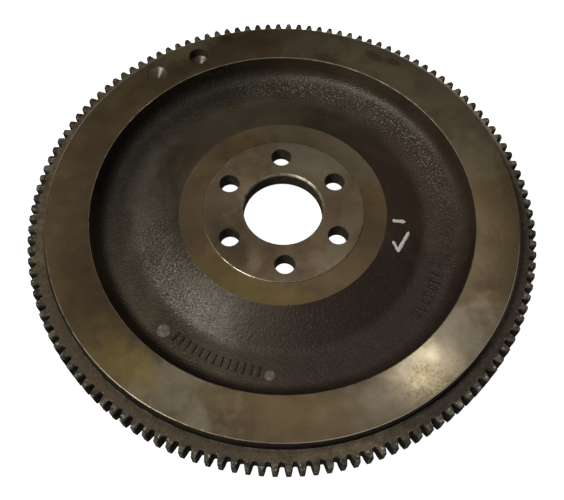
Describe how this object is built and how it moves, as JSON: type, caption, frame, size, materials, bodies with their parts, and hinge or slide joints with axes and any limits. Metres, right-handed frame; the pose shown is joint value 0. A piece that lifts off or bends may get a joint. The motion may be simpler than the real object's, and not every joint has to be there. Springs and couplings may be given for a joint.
{
  "type": "clutch flywheel with starter ring gear",
  "caption": "Dished cast-iron clutch flywheel with a bored, bolted hub, a heavy machined rim, a shrunk-on toothed starter ring gear and clutch locating dowels.",
  "frame": {"origin": "on the turning axis, in the face that bolts to the crankshaft", "axes": "+Z along the turning axis, towards the crankshaft; the clutch side faces -Z"},
  "size_m": [0.2836, 0.2836, 0.0316],
  "materials": {
    "casting_iron": "turned faces with oil stains, rough as-cast dish",
    "ring_gear_steel": "darkened steel with worn, oily teeth",
    "dowel_steel": "ground"
  },
  "bodies": {
    "root": {"flywheel_casting": "casting_iron", "ring_gear": "ring_gear_steel", "clutch_dowel_1": "dowel_steel", "clutch_dowel_2": "dowel_steel", "clutch_dowel_3": "dowel_steel"}
  },
  "joints": []
}
